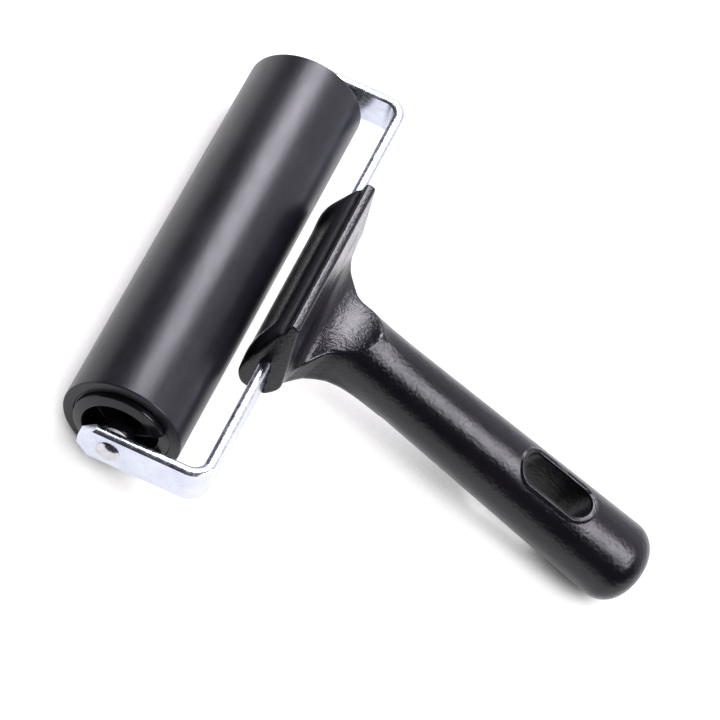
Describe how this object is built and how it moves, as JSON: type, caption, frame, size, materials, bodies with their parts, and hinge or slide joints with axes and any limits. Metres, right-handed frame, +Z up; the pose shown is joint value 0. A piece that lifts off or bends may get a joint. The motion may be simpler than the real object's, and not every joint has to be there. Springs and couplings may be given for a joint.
{
  "type": "rubber brayer",
  "caption": "Hand roller for inking and pressing: a rubber roller on a steel axle in a bent flat-bar frame, with a moulded plastic handle that has a rest ridge and a hanging slot.",
  "frame": {"origin": "on the bench, at the middle of the tool's outline as it stands on the roller and the end of the handle", "axes": "+X along the roller towards the near arm, +Y from the roller to the handle's end, +Z up from the bench"},
  "size_m": [0.175, 0.1982, 0.0579],
  "materials": {
    "roller_rubber": "satin ground rubber",
    "core_aluminium": "drawn tube",
    "hub_plastic": "satin moulded",
    "bush_plastic": "natural acetal",
    "axle_steel": "bright turned steel",
    "frame_plating": "bright zinc plating",
    "handle_plastic": "glossy moulded with a faint orange peel"
  },
  "bodies": {
    "frame": {"frame_bar": "frame_plating", "axle": "axle_steel", "washer_near": "axle_steel", "washer_far": "axle_steel", "handle": "handle_plastic"},
    "roller": {"rubber_sleeve": "roller_rubber", "core_tube": "core_aluminium", "end_hub_near": "hub_plastic", "end_hub_far": "hub_plastic", "bush_near": "bush_plastic", "bush_far": "bush_plastic"}
  },
  "joints": [
    {"name": "roller_spin", "type": "hinge", "parent": "frame", "child": "roller", "pos_m": [0, -0.07894, 0.0202], "axis": [1, 0, 0], "continuous": true}
  ]
}
